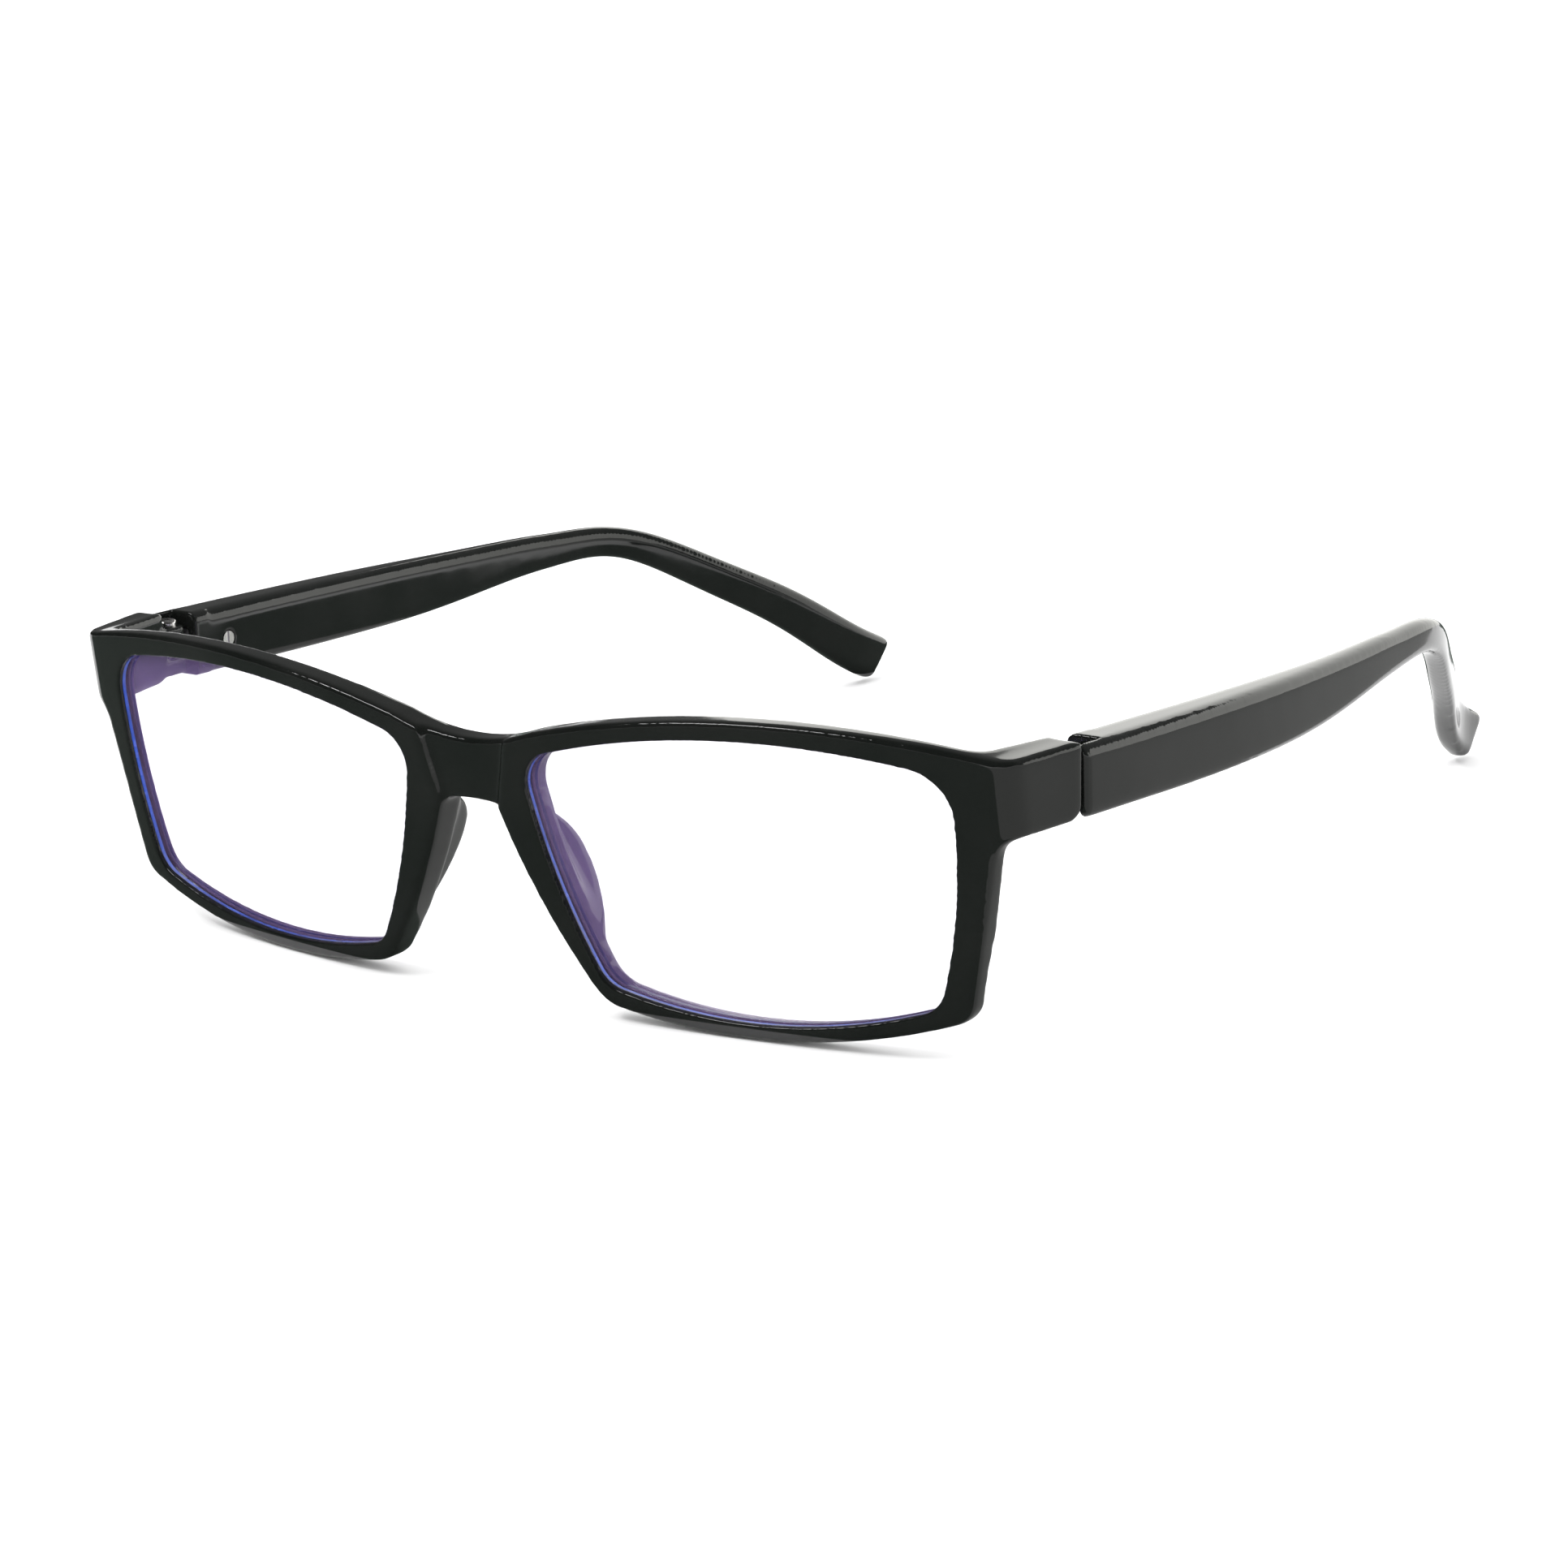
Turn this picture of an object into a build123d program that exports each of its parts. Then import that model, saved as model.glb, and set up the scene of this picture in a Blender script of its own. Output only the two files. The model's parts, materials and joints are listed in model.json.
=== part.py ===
from build123d import *
import math
import os

# Blue light glasses: a one-piece moulded front with two clear coated lenses, and two temples
# on spring hinges. Millimetres. +Z is up, the front faces -Y, the temples run towards +Y, and
# +X is the wearer's left. The glasses stand open on their rims and temple tips.
# The front is drawn flat in its own frame (X across, Y depth, Z up the rim) and then tipped
# forward by FRONT_TILT.

# ---- front -------------------------------------------------------------------------------
FRONT_TILT = 6.3            # degrees the top of the front leans forward
BASE_RADIUS = 244.0         # radius of the front's wrap, seen from above
RIM_DEPTH = [(0.0, 4.6), (31.0, 3.6), (62.0, 2.6)]  # x, and front face to rear face there

# A rounded outline is four corners, how far each side bows out, and a radius at each corner.
OPENING_CORNERS = [(8.1, 29.7), (59.9, 32.3), (56.7, 6.1), (16.3, 4.2)]
OPENING_BOWS = [3.5, 1.3, 3.15, 1.25]
OPENING_RADII = [4.2, 5.6, 4.2, 4.2]

BRIDGE_TOP_MID = (0.0, 31.1)
BROW_START = (9.5, 32.9)
BROW_MID = (38.0, 36.9)
BROW_END = (65.0, 34.6)     # from here the top runs level along the endpiece
RIM_LOW_OUTER = (60.1, 5.0)
RIM_LOW_INNER = (15.9, 1.9)
RIM_LOW_BOW = 3.2
NOSE_TOP = (4.1, 23.5)
NOSE_BOW = 0.9
BRIDGE_ARCH = 23.8          # height of the bridge's underside at the middle
RIM_SIDE_TOP = (64.5, 26.0)  # the endpiece's underside starts here
OUTER_RADIUS = 3.0
INNER_RADIUS = 4.5
ARMPIT_RADIUS = 2.8
BROW_END_RADIUS = 12.0
NOSE_TOP_RADIUS = 1.2
BRIDGE_RECESS = 0.9
BRIDGE_HALF_TOP = 6.3       # half the width of the sunk face at its top

# ---- endpieces ---------------------------------------------------------------------------
CORNER_X = 66.6             # where the front face turns back
CORNER_RADIUS = 3.6
INSIDE_RADIUS = 2.2
ROUGH_END = 24.0            # the endpiece is drawn this long, then cut at the joint
JOINT_Y = 17.0              # rear face of the endpiece
JOINT_X = 68.5              # outer face at the joint
ENDPIECE_WALL = 4.4
ENDPIECE_ROOT = 0.6         # how far behind the rim the endpiece's underside begins
ENDPIECE_HEEL = 1.8         # radius of the lower rear corner

# ---- lenses ------------------------------------------------------------------------------
LENS_SETBACK = 0.6
LENS_THICK = 1.8
TONGUE_THICK = 0.8
TONGUE_REACH = 0.6
LENS_GAP = 0.04

# ---- nose pads ---------------------------------------------------------------------------
PAD_THICK = 1.9
PAD_SPLAY = 5.0             # degrees the pad opens towards the face
PAD_ORIGIN = (9.3, -1.4, 15.2)
PAD_LEAN = 26.7             # degrees its length leans outward from straight down
# The pad's rear edge: distance down the rim from the origin, and reach behind the front face.
PAD_EDGE = [(-9.0, 1.6), (-8.0, 4.4), (-5.4, 6.9), (-1.6, 7.9), (4.0, 7.1), (9.0, 4.6), (12.0, 1.6)]

# ---- temples -----------------------------------------------------------------------------
JOINT_GAP = 0.15
# centre x, y, z, degrees down, degrees inward, height, thickness
STATIONS = [
    (65.70, 15.5, 30.10, 2.0, -3.5, 8.1, 5.6),
    (66.15, 22.0, 29.75, 2.5, -3.0, 8.1, 5.6),
    (66.60, 32.0, 29.25, 2.8, -2.0, 8.1, 5.6),
    (67.05, 46.0, 28.55, 2.2, -0.5, 8.1, 5.1),
    (67.10, 60.0, 28.00, 1.5, 1.5, 7.8, 4.5),
    (66.80, 70.0, 27.80, 0.0, 3.0, 7.2, 3.9),
    (66.20, 80.0, 27.90, -0.5, 5.0, 6.1, 3.5),
    (65.30, 90.0, 28.00, 0.0, 7.5, 5.0, 3.2),
    (64.20, 99.0, 27.80, 6.0, 12.0, 4.3, 3.1),
    (62.70, 106.5, 26.65, 20.0, 19.0, 4.3, 3.1),
    (60.50, 113.0, 23.95, 31.0, 24.0, 4.7, 3.1),
    (55.60, 124.5, 17.35, 33.0, 25.5, 5.4, 3.1),
    (51.20, 134.5, 10.85, 34.0, 22.0, 6.1, 3.1),
    (48.40, 143.5, 4.65, 34.0, 10.0, 6.7, 3.1),
    (47.70, 150.0, 0.25, 34.0, 2.0, 6.9, 3.1),
]
TEMPLE_TOP_RADIUS = 1.2
TEMPLE_LOW_RADIUS = 0.8
TIP_TOP = (148.3, 4.5)      # y and z of the two ends of the tip's slanted end face
TIP_LOW = (143.9, 0.0)
TEMPLE_HEEL = 0.9           # radius of the temple's lower front corner

# ---- spring hinge ------------------------------------------------------------------------
PIVOT_X = 65.9
PIVOT_Y = 19.2
KNUCKLE_INNER = 2.2         # pivot to the knuckle's inner face
KNUCKLE_OUTER = 1.5         # pivot to its outer and rear faces
KNUCKLE_LOW = 26.6
KNUCKLE_TOP = 32.5
KNUCKLE_ROOT = 1.0          # how far the lugs run into the endpiece
KNUCKLE_INNER_RADIUS = 1.3
KNUCKLE_OUTER_RADIUS = 1.4
EYE_Z = 29.8
EYE_THICK = 2.0
EYE_RADIUS = 1.5
SHANK_HALF = 0.6
SHANK_END = 21.5
EYE_GAP = 0.06
PIN_RADIUS = 0.7
PIN_CLEARANCE = 0.05
SCREW_HEAD_RADIUS = 1.25
SCREW_HEAD_HEIGHT = 0.7
SCREW_HEAD_ROUND = 0.35
CROSS_WIDTH = 1.5
CROSS_SLOT = 0.35
CROSS_DEPTH = 0.35
NUT_RADIUS = 1.1
NUT_HEIGHT = 1.6
POCKET_BACK = 21.6          # y of the pocket's rear wall
OUTER_WALL = 1.0            # thickness of the temple's wall outside the pocket
HOUSING_HALF_X = 1.1
HOUSING_HALF_Z = 1.8
HOUSING_END = 35.0
HOUSING_LIP = 1.2
HOUSING_GAP = 0.1           # between the pocket's rear wall and the housing
CAVITY_GAP = 0.05           # behind the housing
ROD_RADIUS = 0.45
ROD_CLEARANCE = 0.05
SPRING_RADIUS = 0.88
SPRING_CLEARANCE = 0.08
SPRING_WIRE = 0.32
SPRING_TURNS = 9
STOP_THICK = 1.2
STOP_Y = 32.2
RIVET_FACE_X = 63.62        # the temple's inner face beside the retaining screw
RIVET_Y = 27.6
RIVET_Z = 29.3
RIVET_HEAD_RADIUS = 0.95
RIVET_HEAD_DEPTH = 0.6
RIVET_HEAD_CLEARANCE = 0.1
RIVET_SHANK_RADIUS = 0.5
RIVET_SHANK_END = 65.62     # x of the end of its hole
RIVET_SHANK_BITE = 0.2      # how far it reaches into the housing's wall
DRIVER_SLOT_WIDTH = 0.3
DRIVER_SLOT_DEPTH = 0.2


def arc_circle(start, end, bow):
    """Centre and radius of the arc from start to end that bows out to its left by bow."""
    dx, dz = end[0] - start[0], end[1] - start[1]
    chord = math.hypot(dx, dz)
    radius = (chord ** 2 / 4 + bow ** 2) / (2 * bow)
    inward = radius - bow
    centre = ((start[0] + end[0]) / 2 + dz / chord * inward,
              (start[1] + end[1]) / 2 - dx / chord * inward)
    return centre, radius


def crossing(first, second, near):
    """Where two circles cross, on the side nearer to a point."""
    (ax, az), ar = first
    (bx, bz), br = second
    gap = math.hypot(bx - ax, bz - az)
    ux, uz = (bx - ax) / gap, (bz - az) / gap
    along = (ar ** 2 - br ** 2 + gap ** 2) / (2 * gap)
    off = math.sqrt(ar ** 2 - along ** 2)
    points = [(ax + along * ux - side * off * uz, az + along * uz + side * off * ux)
              for side in (1, -1)]
    return min(points, key=lambda p: math.hypot(p[0] - near[0], p[1] - near[1]))


def outline(corners, bows, radii, grow=0.0):
    """A closed face in XY with bowed sides and rounded corners, moved out by grow all round."""
    ends = corners[1:] + corners[:1]
    circles = []
    for start, end, bow in zip(corners, ends, bows):
        centre, radius = arc_circle(start, end, bow)
        circles.append((centre, radius + grow))
    points = [crossing(circles[i - 1], circles[i], corner) for i, corner in enumerate(corners)]
    sides = []
    for start, end, (centre, radius) in zip(points, points[1:] + points[:1], circles):
        mx, mz = (start[0] + end[0]) / 2 - centre[0], (start[1] + end[1]) / 2 - centre[1]
        reach = radius / math.hypot(mx, mz)
        sides.append(ThreePointArc(start, (centre[0] + mx * reach, centre[1] + mz * reach), end))
    flat = make_face(sides)
    for point, radius in zip(points, radii):
        vertex = flat.vertices().sort_by_distance((point[0], point[1], 0))[0]
        flat = fillet(vertex, radius + grow)
    return flat


def opening(grow=0.0):
    return outline(OPENING_CORNERS, OPENING_BOWS, OPENING_RADII, grow)


def stand_up(flat, depth_from=-30.0, depth_to=60.0):
    """Turns a face drawn in XY into a prism along Y whose section is in XZ."""
    face = Plane.XZ * flat
    return extrude(Pos(0, depth_to, 0) * face, depth_to - depth_from)


def shell(front_offset, thick):
    """A slice of the front's wrapped surface, from front_offset behind the front face."""
    outer = Cylinder(BASE_RADIUS - front_offset, 90)
    inner = Cylinder(BASE_RADIUS - front_offset - thick, 90)
    return Pos(0, BASE_RADIUS, 20) * (outer - inner) & Pos(0, 20, 20) * Box(150, 60, 88)


def half_outline():
    """Half of the front seen face on, out past the endpiece, in the XZ plane."""
    low_mid = ((RIM_LOW_OUTER[0] + RIM_LOW_INNER[0]) / 2,
               (RIM_LOW_OUTER[1] + RIM_LOW_INNER[1]) / 2 - RIM_LOW_BOW)
    nose_mid = ((RIM_LOW_INNER[0] + NOSE_TOP[0]) / 2 - NOSE_BOW,
                (RIM_LOW_INNER[1] + NOSE_TOP[1]) / 2 - NOSE_BOW / 2)
    reach = 90.0
    sides = [
        ThreePointArc((-BROW_START[0], BROW_START[1]), BRIDGE_TOP_MID, BROW_START),
        ThreePointArc(BROW_START, BROW_MID, BROW_END),
        Line(BROW_END, (reach, BROW_END[1])),
        Line((reach, BROW_END[1]), (reach, RIM_SIDE_TOP[1])),
        Line((reach, RIM_SIDE_TOP[1]), RIM_SIDE_TOP),
        Line(RIM_SIDE_TOP, RIM_LOW_OUTER),
        ThreePointArc(RIM_LOW_OUTER, low_mid, RIM_LOW_INNER),
        ThreePointArc(RIM_LOW_INNER, nose_mid, NOSE_TOP),
        ThreePointArc(NOSE_TOP, (0, BRIDGE_ARCH), (-NOSE_TOP[0], NOSE_TOP[1])),
        Line((-NOSE_TOP[0], NOSE_TOP[1]), (-BROW_START[0], BROW_START[1])),
    ]
    flat = make_face(sides)
    rounded = [(RIM_SIDE_TOP, ARMPIT_RADIUS), (RIM_LOW_OUTER, OUTER_RADIUS),
               (RIM_LOW_INNER, INNER_RADIUS), (NOSE_TOP, NOSE_TOP_RADIUS),
               (BROW_END, BROW_END_RADIUS)]
    for corner, radius in rounded:
        flat = fillet(flat.vertices().sort_by_distance((corner[0], corner[1], 0))[0], radius)
    return flat & Pos(reach / 2, 20) * Rectangle(reach, 80)


def behind(x, depth):
    """Depth coordinate of a point at x that lies depth behind the wrapped front face."""
    return BASE_RADIUS - math.sqrt(BASE_RADIUS ** 2 - x ** 2) + depth


def front_plan():
    """Half of the front seen from above: the wrapped bar, its corner and the endpiece wall."""
    corner_y = behind(CORNER_X, 0)
    slope = math.radians(FRONT_TILT)
    joint_depth = JOINT_Y * math.cos(slope) + EYE_Z * math.sin(slope)
    end_x = CORNER_X + (JOINT_X - CORNER_X) * (ROUGH_END - corner_y) / (joint_depth - corner_y)
    middle, half_way, side = [(x, behind(x, depth)) for x, depth in RIM_DEPTH]
    front_mid = (CORNER_X / 2, behind(CORNER_X / 2, 0))
    sides = [
        ThreePointArc((0, 0), front_mid, (CORNER_X, corner_y)),
        Line((CORNER_X, corner_y), (end_x, ROUGH_END)),
        Line((end_x, ROUGH_END), (end_x - ENDPIECE_WALL, ROUGH_END)),
        Line((end_x - ENDPIECE_WALL, ROUGH_END), side),
        ThreePointArc(side, half_way, middle),
        Line(middle, (0, 0)),
    ]
    flat = make_face(sides)
    for corner, radius in [((CORNER_X, corner_y), CORNER_RADIUS), (side, INSIDE_RADIUS)]:
        flat = fillet(flat.vertices().sort_by_distance((corner[0], corner[1], 0))[0], radius)
    return flat


def tilt(shape):
    return Rot(FRONT_TILT, 0, 0) * shape


def lens():
    """A clear plate with a tongue around its edge that sits in the rim's groove."""
    plate = tilt(shell(LENS_SETBACK, LENS_THICK)) & stand_up(opening(-LENS_GAP))
    tongue_from = LENS_SETBACK + (LENS_THICK - TONGUE_THICK) / 2
    tongue = tilt(shell(tongue_from, TONGUE_THICK)) & stand_up(opening(TONGUE_REACH))
    return plate + tongue


def groove():
    groove_from = LENS_SETBACK + (LENS_THICK - TONGUE_THICK) / 2 - LENS_GAP
    band = tilt(shell(groove_from, TONGUE_THICK + 2 * LENS_GAP))
    return band & stand_up(opening(TONGUE_REACH + LENS_GAP))


def nose_pad():
    """A moulded wing that runs back from the rim's nose side and opens towards the face."""
    lean = math.radians(PAD_LEAN)
    down = Vector(math.sin(lean), 0, -math.cos(lean))
    away = Vector(math.cos(lean), 0, math.sin(lean))
    splay = math.radians(PAD_SPLAY)
    back = Vector(0, 1, 0) * math.cos(splay) + away * math.sin(splay)
    base = Plane(origin=PAD_ORIGIN, x_dir=down, z_dir=down.cross(back))
    flat = make_face([Spline(*PAD_EDGE), Line(PAD_EDGE[-1], PAD_EDGE[0])])
    wing = extrude(base * flat, PAD_THICK / 2, both=True)
    rim_depth = RIM_DEPTH[0][1]
    return wing - (tilt(shell(-5, 5 + rim_depth)) & stand_up(opening()))


def corner_cut(y, z, radius, below=20.0):
    """What rounds a lower corner that faces forward (negative radius) or backward along Y."""
    reach = abs(radius)
    toward = 1 if radius > 0 else -1
    centre_y = y - toward * reach
    square = Pos(0, centre_y + toward * (reach + below) / 2, z + reach - (reach + below) / 2)
    block = square * Box(300, reach + below, reach + below)
    return block - Pos(0, centre_y, z + reach) * Rot(0, 90, 0) * Cylinder(reach, 300)


def front_half():
    """The +X half of the moulded front, without its knuckle."""
    bar = tilt(Pos(0, 0, -20) * extrude(front_plan(), 80))
    body = bar & stand_up(half_outline())
    body -= Pos(0, JOINT_Y + 20, 0) * Box(200, 40, 200)
    side_x, side_depth = RIM_DEPTH[-1]
    reach = 100
    root = behind(side_x, side_depth) + ENDPIECE_ROOT
    rear = tilt(Pos(side_x, root + reach / 2, 0) * Box(reach, reach, reach))
    body -= rear & Pos(side_x, 0, RIM_SIDE_TOP[1] - reach / 2) * Box(reach, 2 * reach, reach)
    body -= corner_cut(JOINT_Y, RIM_SIDE_TOP[1], ENDPIECE_HEEL)
    body -= stand_up(opening())
    return body


def bridge_recess():
    """What is cut away so that the bridge's face lies behind the rims' faces."""
    beyond = 4.0
    top, low = BROW_START[1] + beyond, NOSE_TOP[1] - beyond
    spread = (BRIDGE_HALF_TOP - NOSE_TOP[0]) / (BROW_START[1] - NOSE_TOP[1])
    half_top = BRIDGE_HALF_TOP + beyond * spread
    half_low = NOSE_TOP[0] - beyond * spread
    face = Polygon((-half_low, low), (half_low, low), (half_top, top), (-half_top, top),
                   align=None)
    slope = math.radians(FRONT_TILT)
    sunk = Pos(0, BRIDGE_RECESS / math.cos(slope), 0) * tilt(Pos(0, -20, 20) * Box(40, 40, 90))
    return stand_up(face) & sunk


def knuckle():
    """Two moulded lugs behind the endpiece, with the slot for the hinge eye between them."""
    front_y = JOINT_Y - KNUCKLE_ROOT
    rear_y = PIVOT_Y + KNUCKLE_OUTER
    flat = make_face(Polyline((PIVOT_X - KNUCKLE_INNER, front_y), (PIVOT_X + KNUCKLE_OUTER, front_y),
                              (PIVOT_X + KNUCKLE_OUTER, rear_y), (PIVOT_X - KNUCKLE_INNER, rear_y),
                              close=True))
    for x, radius in [(PIVOT_X - KNUCKLE_INNER, KNUCKLE_INNER_RADIUS),
                      (PIVOT_X + KNUCKLE_OUTER, KNUCKLE_OUTER_RADIUS)]:
        flat = fillet(flat.vertices().sort_by_distance((x, rear_y, 0))[0], radius)
    block = Pos(0, 0, KNUCKLE_LOW) * extrude(flat, KNUCKLE_TOP - KNUCKLE_LOW)
    slot = EYE_THICK + 2 * EYE_GAP
    block -= Pos(PIVOT_X, JOINT_Y + 10, EYE_Z) * Box(10, 20, slot)
    block -= Pos(PIVOT_X, PIVOT_Y, 30) * Cylinder(PIN_RADIUS, 20)
    block -= Pos(PIVOT_X, PIVOT_Y, KNUCKLE_LOW + NUT_HEIGHT / 2) * Cylinder(NUT_RADIUS, NUT_HEIGHT)
    return block


def front_frame():
    half = front_half() + nose_pad() - groove()
    half += knuckle()
    body = half + mirror(half, Plane.YZ)
    return body - bridge_recess()


def temple_section(station):
    x, y, z, down, inward, height, thick = station
    pitch, yaw = math.radians(down), math.radians(inward)
    along = Vector(-math.sin(yaw) * math.cos(pitch), math.cos(yaw) * math.cos(pitch),
                   -math.sin(pitch))
    across = Vector(math.cos(yaw), math.sin(yaw), 0)
    plane = Plane(origin=(x, y, z), x_dir=across, z_dir=along)
    up = 1 if plane.y_dir.Z > 0 else -1
    flat = Rectangle(thick, height)
    top = [v for v in flat.vertices() if v.Y * up > 0]
    flat = fillet(top, TEMPLE_TOP_RADIUS)
    low = [v for v in flat.vertices() if v.Y * up < -height / 2 + 0.01]
    flat = fillet(low, TEMPLE_LOW_RADIUS)
    return plane * flat


def temple_blank():
    """The temple before it is cut: one smooth loft from the joint to past the tip."""
    body = loft([temple_section(s) for s in STATIONS])
    body -= Pos(0, JOINT_Y + JOINT_GAP - 20, 0) * Box(300, 40, 300)
    rise, run = TIP_TOP[1] - TIP_LOW[1], TIP_TOP[0] - TIP_LOW[0]
    turn = math.degrees(math.atan2(rise, run))
    beyond = Pos(0, TIP_LOW[0], TIP_LOW[1]) * Rot(turn, 0, 0) * Pos(0, 0, -20) * Box(300, 80, 40)
    body -= corner_cut(JOINT_Y + JOINT_GAP, RIM_SIDE_TOP[1], -TEMPLE_HEEL)
    return body - beyond - Pos(0, 0, -20) * Box(400, 400, 40)


def temple():
    body = temple_blank()
    pocket_y = (JOINT_Y + POCKET_BACK) / 2
    inner_x = JOINT_X - OUTER_WALL
    pocket = Pos(inner_x - 10, pocket_y, 30) * Box(20, POCKET_BACK - JOINT_Y, 40)
    body -= pocket
    cavity_end = HOUSING_END + CAVITY_GAP
    cavity_length = cavity_end - POCKET_BACK + 1.0
    body -= (Pos(PIVOT_X, cavity_end - cavity_length / 2, EYE_Z)
             * Box(2 * HOUSING_HALF_X, cavity_length, 2 * HOUSING_HALF_Z))
    body -= rivet_hole()
    return body


def along_y(x, y, z, radius, length):
    """A cylinder that starts at y and runs back along +Y."""
    return Pos(x, y + length / 2, z) * Rot(90, 0, 0) * Cylinder(radius, length)


def along_x(x, y, z, radius, length):
    return Pos(x + length / 2, y, z) * Rot(0, 90, 0) * Cylinder(radius, length)


def rivet_hole():
    before = 2.0
    start = RIVET_FACE_X - before
    hole = along_x(start, RIVET_Y, RIVET_Z, RIVET_HEAD_RADIUS + RIVET_HEAD_CLEARANCE,
                   before + RIVET_HEAD_DEPTH)
    return hole + along_x(start, RIVET_Y, RIVET_Z, RIVET_SHANK_RADIUS, RIVET_SHANK_END - start)


def retaining_screw():
    """The small screw on the temple's inner face that holds the spring housing in place."""
    reach = PIVOT_X - HOUSING_HALF_X + RIVET_SHANK_BITE - RIVET_FACE_X
    head = along_x(RIVET_FACE_X, RIVET_Y, RIVET_Z, RIVET_HEAD_RADIUS, RIVET_HEAD_DEPTH)
    slot = Pos(RIVET_FACE_X, RIVET_Y, RIVET_Z) * Box(
        2 * DRIVER_SLOT_DEPTH, DRIVER_SLOT_WIDTH, 3 * RIVET_HEAD_RADIUS)
    return head + along_x(RIVET_FACE_X, RIVET_Y, RIVET_Z, RIVET_SHANK_RADIUS, reach) - slot


def hinge_screw():
    """Pan-head pivot screw, head up, with a cross recess."""
    head = Pos(PIVOT_X, PIVOT_Y, KNUCKLE_TOP + SCREW_HEAD_HEIGHT / 2) * Cylinder(
        SCREW_HEAD_RADIUS, SCREW_HEAD_HEIGHT)
    head = fillet(head.edges().group_by(Axis.Z)[-1], SCREW_HEAD_ROUND)
    length = KNUCKLE_TOP - KNUCKLE_LOW
    shank = Pos(PIVOT_X, PIVOT_Y, KNUCKLE_LOW + length / 2) * Cylinder(PIN_RADIUS, length)
    top = KNUCKLE_TOP + SCREW_HEAD_HEIGHT
    cross = Pos(PIVOT_X, PIVOT_Y, top) * (Box(CROSS_WIDTH, CROSS_SLOT, 2 * CROSS_DEPTH)
                                          + Box(CROSS_SLOT, CROSS_WIDTH, 2 * CROSS_DEPTH))
    return head + shank - cross


def screw_nut():
    """The threaded brass insert in the lower lug."""
    ring = Cylinder(NUT_RADIUS, NUT_HEIGHT) - Cylinder(PIN_RADIUS, NUT_HEIGHT)
    return Pos(PIVOT_X, PIVOT_Y, KNUCKLE_LOW + NUT_HEIGHT / 2) * ring


def hinge_hook():
    """The metal eye on the pivot and the rod that runs back through the spring."""
    eye = Pos(PIVOT_X, PIVOT_Y, EYE_Z) * Cylinder(EYE_RADIUS, EYE_THICK)
    shank_length = SHANK_END - PIVOT_Y
    shank = Pos(PIVOT_X, PIVOT_Y + shank_length / 2, EYE_Z) * Box(
        2 * SHANK_HALF, shank_length, EYE_THICK)
    rod = along_y(PIVOT_X, SHANK_END, EYE_Z, ROD_RADIUS, STOP_Y + STOP_THICK - SHANK_END)
    hole = Pos(PIVOT_X, PIVOT_Y, EYE_Z) * Cylinder(PIN_RADIUS + PIN_CLEARANCE, EYE_THICK)
    return eye + shank + rod - hole


def spring_stop():
    ring = along_y(PIVOT_X, STOP_Y, EYE_Z, SPRING_RADIUS, STOP_THICK)
    return ring - along_y(PIVOT_X, STOP_Y, EYE_Z, ROD_RADIUS, STOP_THICK)


def spring_housing():
    """The metal sleeve pressed into the temple. Its front lip holds the spring."""
    start = POCKET_BACK + HOUSING_GAP
    length = HOUSING_END - start
    box = Pos(PIVOT_X, start + length / 2, EYE_Z) * Box(
        2 * HOUSING_HALF_X, length, 2 * HOUSING_HALF_Z)
    box -= along_y(PIVOT_X, start + HOUSING_LIP, EYE_Z, SPRING_RADIUS + SPRING_CLEARANCE, length)
    box -= along_y(PIVOT_X, start, EYE_Z, ROD_RADIUS + ROD_CLEARANCE, HOUSING_LIP)
    return box - along_x(RIVET_FACE_X, RIVET_Y, RIVET_Z, RIVET_SHANK_RADIUS,
                         RIVET_SHANK_END - RIVET_FACE_X)


def spring():
    start = POCKET_BACK + HOUSING_GAP + HOUSING_LIP + SPRING_WIRE / 2
    length = STOP_Y - SPRING_WIRE / 2 - start
    mean = SPRING_RADIUS - SPRING_WIRE / 2
    path = Helix(length / SPRING_TURNS, length, mean)
    section = Plane(origin=path @ 0, z_dir=path % 0) * Circle(SPRING_WIRE / 2)
    coil = sweep(section, path)
    return Pos(PIVOT_X, start, EYE_Z) * Rot(-90, 0, 0) * coil


def write(name, shape):
    export_step(Compound(shape.solids()), "parts/" + name + ".step")


left = {
    "lens": lens(),
    "temple": temple(),
    "hinge_screw": hinge_screw(),
    "screw_nut": screw_nut(),
    "hinge_hook": hinge_hook(),
    "spring": spring(),
    "spring_stop": spring_stop(),
    "spring_housing": spring_housing(),
    "retaining_screw": retaining_screw(),
}
nodes = {"front_frame": front_frame()}
for part_name, shape in left.items():
    nodes["left_" + part_name] = shape
    nodes["right_" + part_name] = mirror(shape, Plane.YZ)

# The origin is the middle of the footprint, on the surface that the glasses stand on (z = 0).
low = nodes["front_frame"].bounding_box().min
high = nodes["left_temple"].bounding_box().max
shift = Pos(0, -(low.Y + high.Y) / 2, 0)
print("pivot at", PIVOT_X, PIVOT_Y - (low.Y + high.Y) / 2)

os.makedirs("parts", exist_ok=True)
for node_name, shape in nodes.items():
    write(node_name, shift * shape)
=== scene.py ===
import json
import math

import bmesh
import bpy
import numpy as np
from mathutils import Euler, Matrix, Vector
from mathutils.bvhtree import BVHTree


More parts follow.
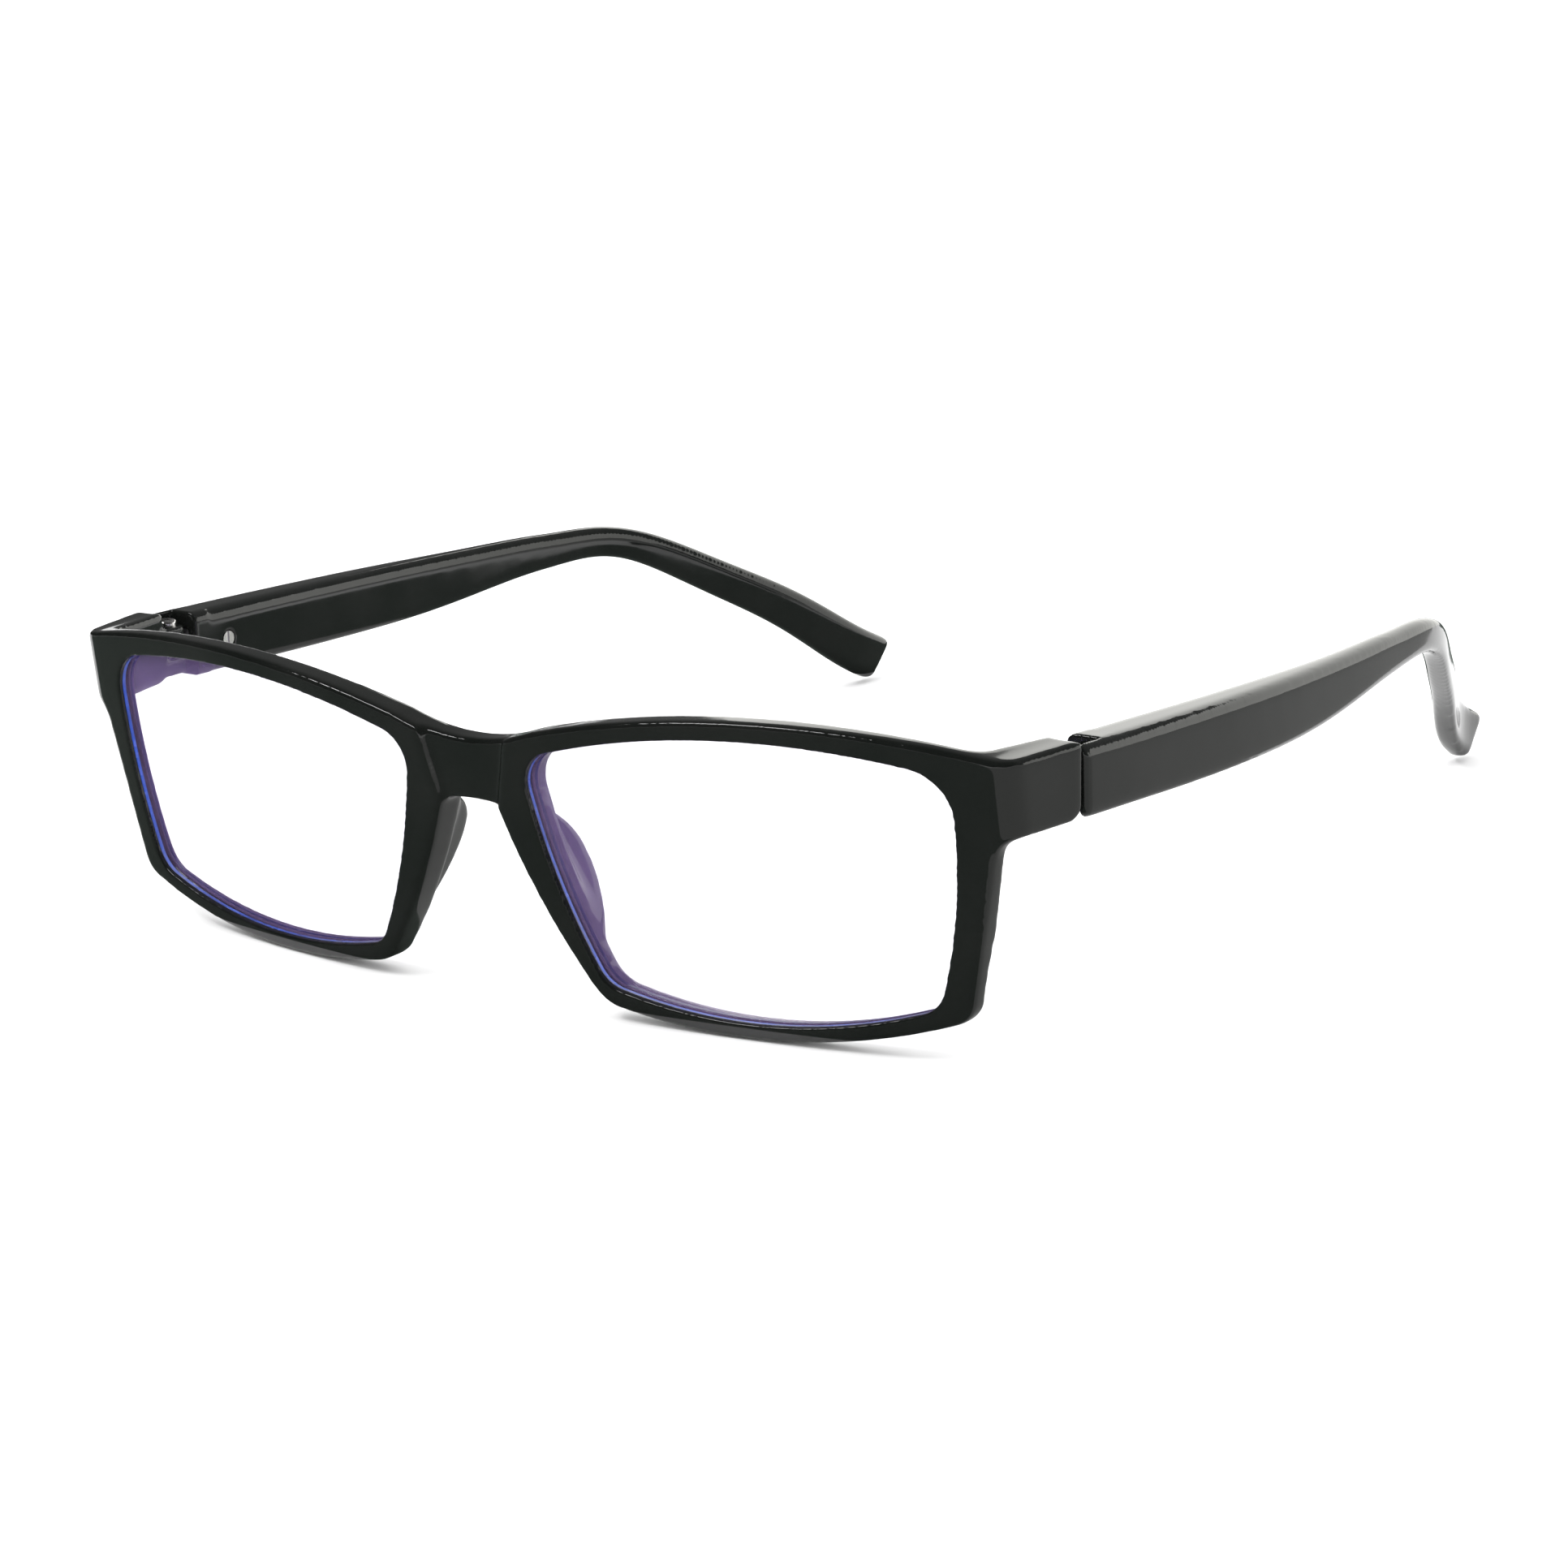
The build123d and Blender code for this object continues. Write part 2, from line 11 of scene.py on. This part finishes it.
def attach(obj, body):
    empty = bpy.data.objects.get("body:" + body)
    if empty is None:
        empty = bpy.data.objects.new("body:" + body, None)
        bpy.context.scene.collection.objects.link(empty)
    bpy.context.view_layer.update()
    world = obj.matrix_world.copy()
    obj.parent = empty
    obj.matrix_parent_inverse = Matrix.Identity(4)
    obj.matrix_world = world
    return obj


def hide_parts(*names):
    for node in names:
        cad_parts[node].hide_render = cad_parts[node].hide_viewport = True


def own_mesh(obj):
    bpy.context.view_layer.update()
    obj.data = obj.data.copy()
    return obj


# Blue light glasses: gloss black moulded front and temples, clear coated lenses, spring hinges.
# Metres. The moulded pieces are remeshed from the CAD solids and get their rounded edges here.

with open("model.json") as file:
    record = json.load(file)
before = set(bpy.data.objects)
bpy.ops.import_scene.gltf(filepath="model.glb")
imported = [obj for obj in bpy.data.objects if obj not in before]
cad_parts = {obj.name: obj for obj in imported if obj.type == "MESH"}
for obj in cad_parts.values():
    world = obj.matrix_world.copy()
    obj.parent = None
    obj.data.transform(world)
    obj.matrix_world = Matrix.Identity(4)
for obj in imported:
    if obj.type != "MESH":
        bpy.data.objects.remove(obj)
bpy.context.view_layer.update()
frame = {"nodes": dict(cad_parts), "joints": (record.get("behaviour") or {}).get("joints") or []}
nodes = frame["nodes"]
joints = {joint["name"]: joint for joint in frame["joints"]}
MM = 0.001

# ---- shape -------------------------------------------------------------------------------
VOXEL = 0.20 * MM            # mesh size of the moulded pieces
FINE_PASSES = 14             # smoothing everywhere, for a slightly rounded edge
BROAD_PASSES = 75            # more smoothing away from lenses, screws and hinges
EDGE_KEEP = 0.9 * MM         # nearer than this to a lens or retaining screw, edges stay crisp
EDGE_FADE = 0.8 * MM         # the broad smoothing grows to full over this much more
HINGE_REACH = 5.5 * MM       # nearer than this to a pivot, the lugs keep their crisp edges,
HINGE_OUTWARD = 1.8 * MM     # up to this far outside the pivot
HINGE_AHEAD = 2.0 * MM       # and this far in front of it
JOINT_FACE_DEPTH = 0.8 * MM  # the length of temple that is set back at its joint face
JOINT_EASE = 0.10 * MM       # how far it is set back
# The remesh grid is turned so that no face of the object lines up with it.
GRID_TURN = Euler([math.radians(a) for a in (31, 23, 37)]).to_matrix().to_4x4()

FRONT_LEAN = math.radians(6.3)       # the front's forward lean, as in the CAD
FRONT_RADIUS = 0.244                 # the radius that the front is wrapped on, as in the CAD
LENS_FACE_COSINE = 0.8               # lens faces within this of straight ahead are clear
LENS_SHARP_ANGLE = math.radians(35)

# ---- colours -----------------------------------------------------------------------------
PLASTIC_IOR = 1.5
BLACK = (0.0045, 0.0055, 0.0048)
SMUDGED_BLACK = (0.0075, 0.0082, 0.0075)
COAT_VIOLET = (0.50, 0.34, 0.80)
FLAG_GREY = (0.09, 0.105, 0.095)
SIDE_GREY = (0.36, 0.36, 0.355)
TABLE_WHITE = (0.92, 0.92, 0.92)

# ---- camera, as the object was photographed ------------------------------------------------
VIEW_AZIMUTH = 36.175
VIEW_ELEVATION = 15.116
VIEW_ROLL = -2.106
CAMERA_PLACE = (0.28813, -0.40969, 0.14329)
CAMERA_LENS = 94.17
SENSOR_WIDTH = 36

# ---- studio ------------------------------------------------------------------------------
WORLD_STRENGTH = 1.3                 # the white surroundings, as all but reflections see them
REFLECTED_GREYS = (0.02, 0.16)       # the darkest and lightest surroundings in reflections
CARD_HEIGHT = 1.5 * MM               # the flat cards lie just above the table


def shown_copy(node, name):
    """A new mesh object with the shape of a CAD node."""
    piece = bpy.data.objects.new(name, nodes[node].data.copy())
    bpy.context.scene.collection.objects.link(piece)
    piece.data.materials.clear()
    return piece


def bake_modifiers(piece):
    """Applies the piece's modifiers to its mesh."""
    graph = bpy.context.evaluated_depsgraph_get()
    mesh = bpy.data.meshes.new_from_object(piece.evaluated_get(graph))
    piece.modifiers.clear()
    piece.data = mesh


def weld(piece):
    """Joins the CAD mesh's faces into one closed skin."""
    work = bmesh.new()
    work.from_mesh(piece.data)
    bmesh.ops.remove_doubles(work, verts=work.verts, dist=1e-7)
    work.to_mesh(piece.data)
    work.free()


def skin_of(node):
    """A search tree over the surface of a CAD node."""
    mesh = nodes[node].data
    return BVHTree.FromPolygons([v.co for v in mesh.vertices],
                                [tuple(p.vertices) for p in mesh.polygons])


def smooth(piece, passes, weights=None):
    """Adds smoothing to a piece, weighted by vertex if weights are given."""
    modifier = piece.modifiers.new("smooth", "SMOOTH")
    modifier.factor = 0.5
    modifier.iterations = passes
    if weights is not None:
        group = piece.vertex_groups.new(name="broad")
        for i, weight in enumerate(weights):
            if weight > 0:
                group.add([i], float(weight), "REPLACE")
        modifier.vertex_group = "broad"


def moulded(node, crisp_skins, body):
    """A moulded piece: the CAD shape with the rounded edges of a polished moulding."""
    piece = shown_copy(node, node + "_moulding")
    weld(piece)
    piece.data.transform(GRID_TURN)
    modifier = piece.modifiers.new("remesh", "REMESH")
    modifier.mode = "VOXEL"
    modifier.voxel_size = VOXEL
    bake_modifiers(piece)
    piece.data.transform(GRID_TURN.inverted())
    weights = []
    for vertex in piece.data.vertices:
        weight = 1.0
        for skin in crisp_skins:
            distance = skin.find_nearest(vertex.co)[3]
            weight = min(weight, max(0.0, (distance - EDGE_KEEP) / EDGE_FADE))
        for side in ("left", "right"):
            pivot = Vector(joints[side + "_fold"]["pos_m"])
            away = (Vector(vertex.co) - pivot).xy.length
            inner = abs(vertex.co.x) < abs(pivot.x) + HINGE_OUTWARD
            if away < HINGE_REACH and inner and vertex.co.y > pivot.y - HINGE_AHEAD:
                weight = 0.0
        weights.append(weight)
    smooth(piece, BROAD_PASSES, weights)
    smooth(piece, FINE_PASSES)
    bake_modifiers(piece)
    piece.data.shade_smooth()
    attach(piece, body)
    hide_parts(node)
    return piece


def ease_joint_face(arm):
    """Sets a temple's joint face back a little, to stay clear when the temple flexes out."""
    joint_y = min(vertex.co.y for vertex in arm.data.vertices)
    for vertex in arm.data.vertices:
        if vertex.co.y < joint_y + JOINT_FACE_DEPTH:
            vertex.co.y += JOINT_EASE


# ---- materials ---------------------------------------------------------------------------
def new_material(name):
    """A material with its node tree and its shader."""
    material = bpy.data.materials.new(name)
    material.use_nodes = True
    tree = material.node_tree
    return material, tree, tree.nodes["Principled BSDF"]


def noise(tree, scale, detail=3.0, stretch=(1, 1, 1)):
    """A noise texture in object space. scale counts blobs per metre."""
    place = tree.nodes.new("ShaderNodeTexCoord")
    mapping = tree.nodes.new("ShaderNodeMapping")
    mapping.inputs["Scale"].default_value = stretch
    texture = tree.nodes.new("ShaderNodeTexNoise")
    texture.inputs["Scale"].default_value = scale
    texture.inputs["Detail"].default_value = detail
    tree.links.new(place.outputs["Object"], mapping.inputs["Vector"])
    tree.links.new(mapping.outputs["Vector"], texture.inputs["Vector"])
    return texture.outputs["Fac"]


def remap(tree, value, low, high, to_low, to_high):
    """Takes value from the range low to high to the range to_low to to_high."""
    node = tree.nodes.new("ShaderNodeMapRange")
    node.inputs["From Min"].default_value = low
    node.inputs["From Max"].default_value = high
    node.inputs["To Min"].default_value = to_low
    node.inputs["To Max"].default_value = to_high
    tree.links.new(value, node.inputs["Value"])
    return node.outputs["Result"]


def combine(tree, operation, first, second):
    """A math node on two values, each a number or a socket."""
    node = tree.nodes.new("ShaderNodeMath")
    node.operation = operation
    for socket, value in zip(node.inputs, (first, second)):
        if isinstance(value, (int, float)):
            socket.default_value = value
        else:
            tree.links.new(value, socket)
    return node.outputs["Value"]


def grey_from(tree, level):
    """A grey colour with the given brightness."""
    grey = tree.nodes.new("ShaderNodeCombineColor")
    for channel in ("Red", "Green", "Blue"):
        tree.links.new(level, grey.inputs[channel])
    return grey.outputs["Color"]


def add_bump(tree, shader, height, depth, strength):
    bump = tree.nodes.new("ShaderNodeBump")
    bump.inputs["Strength"].default_value = strength
    bump.inputs["Distance"].default_value = depth
    tree.links.new(height, bump.inputs["Height"])
    tree.links.new(bump.outputs["Normal"], shader.inputs["Normal"])


def gloss_black():
    """Polished black injection moulding: faint flow waves, handling smudges, hairline scratches."""
    material, tree, shader = new_material("gloss_black_plastic")
    shader.inputs["Base Color"].default_value = (*BLACK, 1)
    shader.inputs["IOR"].default_value = PLASTIC_IOR
    smudge = noise(tree, 90, 4)
    fine = noise(tree, 900, 2)
    scratches = noise(tree, 700, 2, (1, 0.04, 1))
    rough = combine(tree, "ADD", remap(tree, smudge, 0.4, 0.75, 0.06, 0.13),
                    remap(tree, scratches, 0.62, 0.75, 0.0, 0.05))
    tree.links.new(rough, shader.inputs["Roughness"])
    tint = tree.nodes.new("ShaderNodeMix")
    tint.data_type = "RGBA"
    tint.inputs["A"].default_value = (*BLACK, 1)
    tint.inputs["B"].default_value = (*SMUDGED_BLACK, 1)
    tree.links.new(remap(tree, smudge, 0.35, 0.7, 0, 1), tint.inputs["Factor"])
    tree.links.new(tint.outputs["Result"], shader.inputs["Base Color"])
    waves = combine(tree, "ADD", noise(tree, 140, 1), combine(tree, "MULTIPLY", fine, 0.06))
    add_bump(tree, shader, waves, 0.012 * MM, 0.5)
    return material


def coated_lens():
    """Clear plastic with a blue-violet anti-reflective coat, slightly smudged."""
    material, tree, shader = new_material("coated_lens")
    shader.inputs["Base Color"].default_value = (*COAT_VIOLET, 1)
    shader.inputs["IOR"].default_value = PLASTIC_IOR
    smudge = noise(tree, 70, 5, (1, 1, 2.2))
    dust = noise(tree, 2600, 1)
    tree.links.new(remap(tree, smudge, 0.45, 0.8, 0.03, 0.14), shader.inputs["Roughness"])
    specks = remap(tree, dust, 0.78, 0.82, 0.0, 0.35)
    alpha = combine(tree, "ADD", remap(tree, smudge, 0.3, 0.8, 0.09, 0.12), specks)
    tree.links.new(alpha, shader.inputs["Alpha"])
    add_bump(tree, shader, smudge, 0.004 * MM, 0.3)
    return material


def lens_edge_painted_reflection():
    """The polished lens edge, with painted reflection and painted shade: a painted bright
    reflection of the coat's blue by the front face, then painted navy shade, then violet.
    """
    material, tree, shader = new_material("lens_edge_painted_reflection")
    depth = tree.nodes.new("ShaderNodeAttribute")
    depth.attribute_name = "depth"
    ramp = tree.nodes.new("ShaderNodeValToRGB")
    ramp.color_ramp.interpolation = "EASE"
    # depth 0 at the front face to 1 at the back: the bright blue band is a painted reflection, the
    # near-black bands are painted shade
    painted_band_stops = [
        (0.0, (0.003, 0.014, 0.06)),
        (0.14, (0.012, 0.08, 0.50)),
        (0.46, (0.012, 0.07, 0.42)),
        (0.60, (0.003, 0.008, 0.04)),
        (0.80, (0.008, 0.012, 0.06)),
        (1.0, (0.06, 0.035, 0.12)),
    ]
    while len(ramp.color_ramp.elements) < len(painted_band_stops):
        ramp.color_ramp.elements.new(0.5)
    for element, (place, colour) in zip(ramp.color_ramp.elements, painted_band_stops):
        element.position = place
        element.color = (*colour, 1)
    tree.links.new(depth.outputs["Fac"], ramp.inputs["Fac"])
    streaks = noise(tree, 260, 3)
    shade = tree.nodes.new("ShaderNodeMix")
    shade.data_type = "RGBA"
    shade.blend_type = "MULTIPLY"
    shade.inputs["Factor"].default_value = 1.0
    tree.links.new(ramp.outputs["Color"], shade.inputs["A"])
    tree.links.new(grey_from(tree, remap(tree, streaks, 0.3, 0.7, 0.65, 1.25)),
                   shade.inputs["B"])
    tree.links.new(shade.outputs["Result"], shader.inputs["Base Color"])
    tree.links.new(remap(tree, streaks, 0.3, 0.7, 0.16, 0.3), shader.inputs["Roughness"])
    return material


def metal(name, colour, rough, grain):
    """Small turned or drawn metal piece with fine tool marks."""
    material, tree, shader = new_material(name)
    shader.inputs["Base Color"].default_value = (*colour, 1)
    shader.inputs["Metallic"].default_value = 1.0
    marks = noise(tree, grain, 3, (1, 1, 0.15))
    tree.links.new(remap(tree, marks, 0.3, 0.7, rough * 0.6, rough * 1.5),
                   shader.inputs["Roughness"])
    add_bump(tree, shader, marks, 0.01 * MM, 0.5)
    return material


# ---- lenses ------------------------------------------------------------------------------
def lens_piece(side, clear, edge):
    """The lens with its clear faces and its polished edge as two materials."""
    node = side + "_lens"
    piece = shown_copy(node, node + "_clear")
    weld(piece)
    mesh = piece.data
    mesh.materials.append(clear)
    mesh.materials.append(edge)
    front = Vector((0, -math.cos(FRONT_LEAN), -math.sin(FRONT_LEAN)))
    for polygon in mesh.polygons:
        facing = abs(polygon.normal.dot(front))
        polygon.material_index = 0 if facing > LENS_FACE_COSINE else 1
    depths = np.array([-Vector(v.co).dot(front) for v in mesh.vertices])
    wrap = np.array([v.co.x ** 2 / (2 * FRONT_RADIUS) for v in mesh.vertices])
    depths = depths - wrap
    depths = (depths - depths.min()) / (depths.max() - depths.min())
    attribute = mesh.attributes.new("depth", "FLOAT", "POINT")
    attribute.data.foreach_set("value", depths.astype(np.float32))
    mesh.shade_smooth()
    mesh.set_sharp_from_angle(angle=LENS_SHARP_ANGLE)
    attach(piece, "front")
    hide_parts(node)
    piece.visible_shadow = False
    return piece


def squeeze_spring(side):
    """Gives the spring coil a mesh of its own."""
    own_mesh(nodes[side + "_spring"])


# ---- object ------------------------------------------------------------------------------
black = gloss_black()
clear = coated_lens()
edge = lens_edge_painted_reflection()
metals = {
    "hinge_screw": metal("nickel_screw", (0.78, 0.77, 0.75), 0.18, 4000),
    "retaining_screw": metal("nickel_retaining_screw", (0.75, 0.74, 0.72), 0.2, 4000),
    "screw_nut": metal("brass_insert", (0.70, 0.52, 0.26), 0.3, 3000),
    "hinge_hook": metal("steel_hook", (0.50, 0.50, 0.51), 0.32, 2500),
    "spring_stop": metal("steel_stop", (0.50, 0.50, 0.51), 0.32, 2500),
    "spring_housing": metal("steel_housing", (0.46, 0.46, 0.47), 0.35, 2500),
    "spring": metal("spring_wire", (0.40, 0.40, 0.42), 0.28, 3500),
}

front = moulded("front_frame", [skin_of("left_lens"), skin_of("right_lens")], "front")
front.data.materials.append(black)
for side in ("left", "right"):
    arm = moulded(side + "_temple", [skin_of(side + "_retaining_screw")], side + "_arm")
    ease_joint_face(arm)
    arm.data.materials.append(black)
    lens_piece(side, clear, edge)
    for part, material in metals.items():
        node = nodes[side + "_" + part]
        node.data.materials.clear()
        node.data.materials.append(material)
    squeeze_spring(side)


# ---- stage -------------------------------------------------------------------------------
def plane(name, centre, size, turn=(0, 0, 0)):
    """A flat stage piece. turn is in degrees."""
    mesh = bpy.data.meshes.new(name)
    x, y = size[0] / 2, size[1] / 2
    mesh.from_pydata([(-x, -y, 0), (x, -y, 0), (x, y, 0), (-x, y, 0)], [], [(0, 1, 2, 3)])
    thing = bpy.data.objects.new(name, mesh)
    thing.location = centre
    thing.rotation_euler = [math.radians(a) for a in turn]
    bpy.context.scene.collection.objects.link(thing)
    return thing


def area_light(name, place, target, size, power):
    """A rectangular lamp at place that points at target."""
    data = bpy.data.lights.new(name, "AREA")
    data.shape = "RECTANGLE"
    data.size, data.size_y = size
    data.energy = power
    light = bpy.data.objects.new(name, data)
    light.location = place
    light.rotation_euler = (Vector(target) - Vector(place)).to_track_quat("-Z", "Y").to_euler()
    bpy.context.scene.collection.objects.link(light)
    return light


def build_world():
    """White surroundings for the camera and the light, and dark ones for reflections."""
    world = bpy.data.worlds.new("studio")
    bpy.context.scene.world = world
    world.use_nodes = True
    tree = world.node_tree
    tree.nodes.clear()
    output = tree.nodes.new("ShaderNodeOutputWorld")
    background = tree.nodes.new("ShaderNodeBackground")
    white = tree.nodes.new("ShaderNodeBackground")
    white.inputs["Color"].default_value = (1, 1, 1, 1)
    white.inputs["Strength"].default_value = WORLD_STRENGTH
    pick = tree.nodes.new("ShaderNodeMixShader")
    path = tree.nodes.new("ShaderNodeLightPath")
    place = tree.nodes.new("ShaderNodeTexCoord")
    split = tree.nodes.new("ShaderNodeSeparateXYZ")
    tree.links.new(place.outputs["Generated"], split.inputs["Vector"])
    along = combine(tree, "ADD", combine(tree, "MULTIPLY", split.outputs["Y"], 0.9),
                    combine(tree, "MULTIPLY", split.outputs["X"], 0.25))
    level = remap(tree, along, 0.0, 0.6, *REFLECTED_GREYS)
    tree.links.new(grey_from(tree, level), background.inputs["Color"])
    tree.links.new(path.outputs["Is Glossy Ray"], pick.inputs["Fac"])
    tree.links.new(white.outputs["Background"], pick.inputs[1])
    tree.links.new(background.outputs["Background"], pick.inputs[2])
    tree.links.new(pick.outputs["Shader"], output.inputs["Surface"])


def plain_material(name, colour, rough):
    """A dull material for the stage."""
    material, tree, shader = new_material(name)
    shader.inputs["Base Color"].default_value = (*colour, 1)
    shader.inputs["Specular IOR Level"].default_value = 0.0
    tree.links.new(remap(tree, noise(tree, 40), 0.3, 0.7, rough, rough + 0.1),
                   shader.inputs["Roughness"])
    return material


def glow(name, strength):
    """A faintly warm light-giving material."""
    material, _, shader = new_material(name)
    shader.inputs["Base Color"].default_value = (0, 0, 0, 1)
    shader.inputs["Emission Color"].default_value = (1, 1, 0.96, 1)
    shader.inputs["Emission Strength"].default_value = strength
    return material


def mirror_only(card, material):
    """A stage card that is seen in reflections and nowhere else."""
    card.data.materials.append(material)
    for ray in ("camera", "diffuse", "shadow", "transmission"):
        setattr(card, "visible_" + ray, False)


build_world()
floor = plane("floor", (0, 2.0, 0), (24, 24))
floor.data.materials.append(plain_material("white_table", TABLE_WHITE, 0.85))
flag_grey = plain_material("flag_grey", FLAG_GREY, 0.9)
side_grey = plain_material("side_grey", SIDE_GREY, 0.9)
flat_cards = [
    ("flag_ahead", (-0.585, -0.665), (1.33, 1.20), flag_grey),
    ("flag_between", (-0.104, 0.140), (0.272, 0.25), flag_grey),
    ("flag_side", (0.38, 0.10), (0.60, 0.90), side_grey),
    ("flag_nose", (-0.010, -0.025), (0.18, 0.08), side_grey),
]
for name, (x, y), size, material in flat_cards:
    mirror_only(plane(name, (x, y, CARD_HEIGHT), size), material)
mirror_only(plane("backdrop_card", (0.30, 0.35, 0.12), (1.20, 0.24), (90, 0, 0)),
            glow("backdrop_glow", 1.75))

overhead = area_light("overhead", (0.0, 0.15, 1.1), (0, 0, 0), (1.6, 1.6), 5)
overhead.visible_glossy = False
area_light("strip", (-0.35, -0.45, 0.75), (0, -0.05, 0.02), (0.50, 0.16), 3.2)


def make_camera():
    """The camera that the main view is rendered from."""
    azimuth, elevation, roll = (math.radians(a) for a in
                                (VIEW_AZIMUTH, VIEW_ELEVATION, VIEW_ROLL))
    back = Vector((math.sin(azimuth) * math.cos(elevation),
                   -math.cos(azimuth) * math.cos(elevation), math.sin(elevation)))
    right = Vector((math.cos(azimuth), math.sin(azimuth), 0))
    up = back.cross(right)
    turned_right = right * math.cos(roll) + up * math.sin(roll)
    turned_up = up * math.cos(roll) - right * math.sin(roll)
    data = bpy.data.cameras.new("camera")
    data.lens = CAMERA_LENS
    data.sensor_width = SENSOR_WIDTH
    data.clip_start, data.clip_end = 0.01, 50
    camera = bpy.data.objects.new("camera", data)
    turn = Matrix((turned_right, turned_up, back)).transposed()
    camera.matrix_world = Matrix.Translation(CAMERA_PLACE) @ turn.to_4x4()
    bpy.context.scene.collection.objects.link(camera)
    bpy.context.scene.camera = camera


make_camera()
bpy.context.scene.view_settings.view_transform = "Standard"
